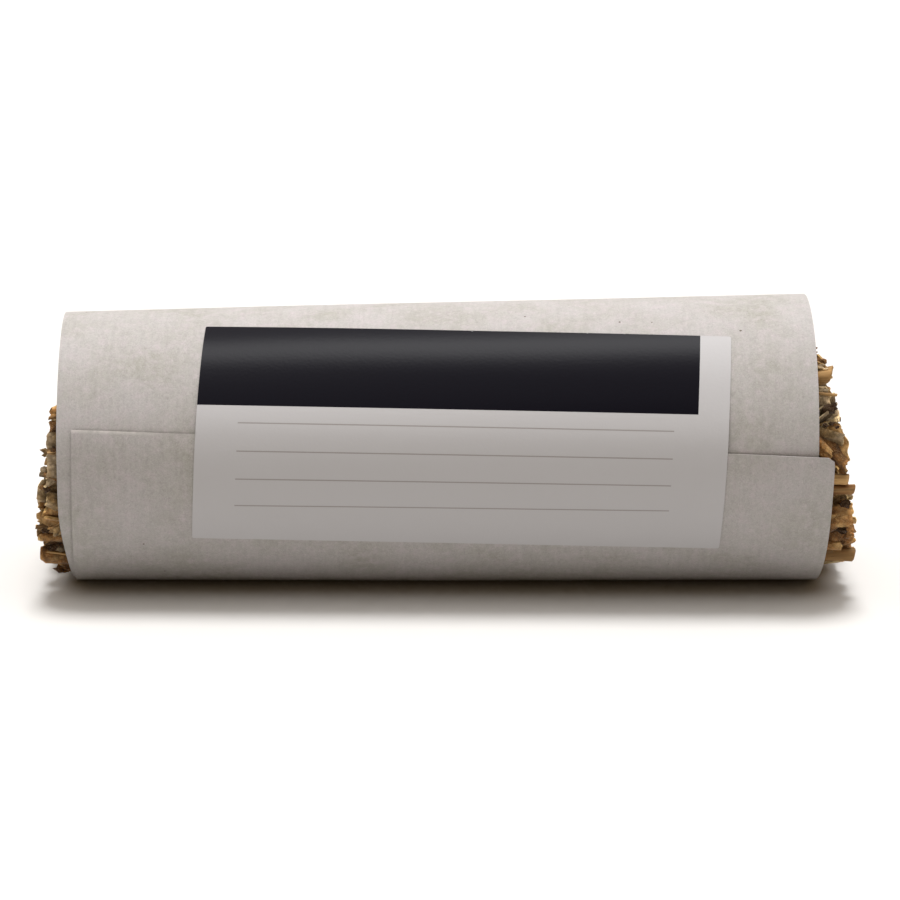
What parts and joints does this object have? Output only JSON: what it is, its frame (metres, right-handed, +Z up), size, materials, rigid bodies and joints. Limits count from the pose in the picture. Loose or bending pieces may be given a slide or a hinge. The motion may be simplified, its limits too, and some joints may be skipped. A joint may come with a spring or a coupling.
{
  "type": "sage smudge stick",
  "caption": "Short bundle of dried sage and lavender sprigs, bound with cotton thread and rolled in a paper sleeve held shut by a label, lying on its side.",
  "frame": {"origin": "on the surface that the stick lies on, under the middle of its length and width", "axes": "+X along the stick towards the wider end of the roll, -Y towards the side with the label, +Z up"},
  "size_m": [0.1, 0.036, 0.035],
  "materials": {
    "recycled_paper": "matte, uncoated, with fine grey fibres and small dark specks",
    "label_paper": "smooth coated paper, with a plain black band across the upper part",
    "cotton_thread": "matte, natural cotton",
    "dried_sage": "matte, grey-green felted leaves on tan woody stems",
    "dried_lavender": "matte, dull grey-violet and brown dried buds on a thin stem"
  },
  "bodies": {
    "root": {"paper_wrap": "recycled_paper", "label": "label_paper", "binding_thread": "cotton_thread", "sage_sprig_01": "dried_sage", "sage_sprig_02": "dried_sage", "sage_sprig_03": "dried_sage", "sage_sprig_04": "dried_sage", "sage_sprig_05": "dried_sage", "sage_sprig_06": "dried_sage", "sage_sprig_07": "dried_sage", "sage_sprig_08": "dried_sage", "sage_sprig_09": "dried_sage", "sage_sprig_10": "dried_sage", "sage_sprig_11": "dried_sage", "sage_sprig_12": "dried_sage", "lavender_sprig_1": "dried_lavender", "lavender_sprig_2": "dried_lavender", "lavender_sprig_3": "dried_lavender"}
  },
  "joints": []
}
